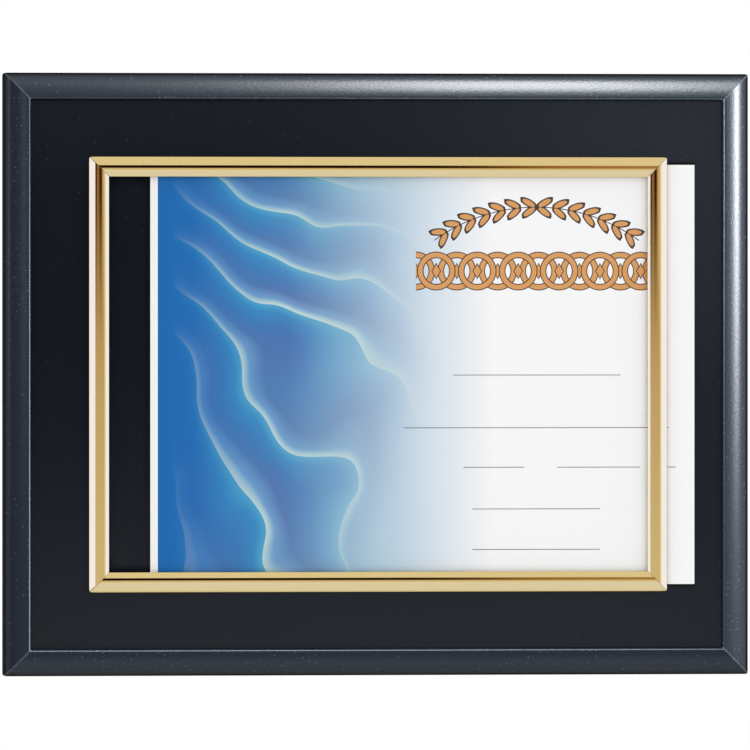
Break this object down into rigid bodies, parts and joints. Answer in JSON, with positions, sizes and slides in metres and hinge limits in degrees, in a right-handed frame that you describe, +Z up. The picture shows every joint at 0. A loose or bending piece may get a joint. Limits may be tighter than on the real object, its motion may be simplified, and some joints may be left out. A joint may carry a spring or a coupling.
{
  "type": "slide-in certificate plaque",
  "caption": "Black wall plaque with a mitred moulding and a gold channel frame whose open end takes a certificate and a clear cover, which slide in and out.",
  "frame": {"origin": "middle notch of the top hanger, in the plane of the moulding's back", "axes": "+X to the right along the plaque, +Y to the wall behind it, +Z up. The front faces -Y"},
  "size_m": [0.3812, 0.0213, 0.306],
  "materials": {
    "black_moulding": "black satin lacquer on wood moulding",
    "black_laminate": "black laminated fibreboard",
    "gold": "bright gold anodised",
    "zinc_steel": "zinc plated",
    "printed_paper": "smooth card with a printed blue design",
    "clear_plastic": "clear polyester sheet"
  },
  "bodies": {
    "plaque": {"corner_key_bottom_left": "zinc_steel", "corner_key_bottom_right": "zinc_steel", "corner_key_top_left": "zinc_steel", "corner_key_top_right": "zinc_steel", "corner_nail_bottom_left": "zinc_steel", "corner_nail_bottom_right": "zinc_steel", "corner_nail_top_left": "zinc_steel", "corner_nail_top_right": "zinc_steel", "display_panel": "black_laminate", "gold_rail_bottom": "gold", "gold_rail_left": "gold", "gold_rail_right": "gold", "gold_rail_top": "gold", "hanger_nail_right_1": "zinc_steel", "hanger_nail_right_2": "zinc_steel", "hanger_nail_top_1": "zinc_steel", "hanger_nail_top_2": "zinc_steel", "hanger_right": "zinc_steel", "hanger_top": "zinc_steel", "moulding_bottom": "black_moulding", "moulding_left": "black_moulding", "moulding_right": "black_moulding", "moulding_top": "black_moulding", "panel_point_bottom_1": "zinc_steel", "panel_point_bottom_2": "zinc_steel", "panel_point_bottom_3": "zinc_steel", "panel_point_left_1": "zinc_steel", "panel_point_left_2": "zinc_steel", "panel_point_right_1": "zinc_steel", "panel_point_right_2": "zinc_steel", "panel_point_top_1": "zinc_steel", "panel_point_top_2": "zinc_steel", "panel_point_top_3": "zinc_steel", "rail_screw_bottom_1": "zinc_steel", "rail_screw_bottom_2": "zinc_steel", "rail_screw_bottom_3": "zinc_steel", "rail_screw_left_1": "zinc_steel", "rail_screw_left_2": "zinc_steel", "rail_screw_right_1": "zinc_steel", "rail_screw_right_2": "zinc_steel", "rail_screw_top_1": "zinc_steel", "rail_screw_top_2": "zinc_steel", "rail_screw_top_3": "zinc_steel", "slot_sill": "gold"},
    "certificate": {"certificate": "printed_paper"},
    "cover_sheet": {"clear_cover": "clear_plastic"}
  },
  "joints": [
    {"name": "certificate_slide", "type": "slide", "parent": "plaque", "child": "certificate", "axis": [1, 0, 0], "range_m": [-0.0229, 0.266]},
    {"name": "cover_slide", "type": "slide", "parent": "plaque", "child": "cover_sheet", "axis": [1, 0, 0], "range_m": [0, 0.289]}
  ]
}
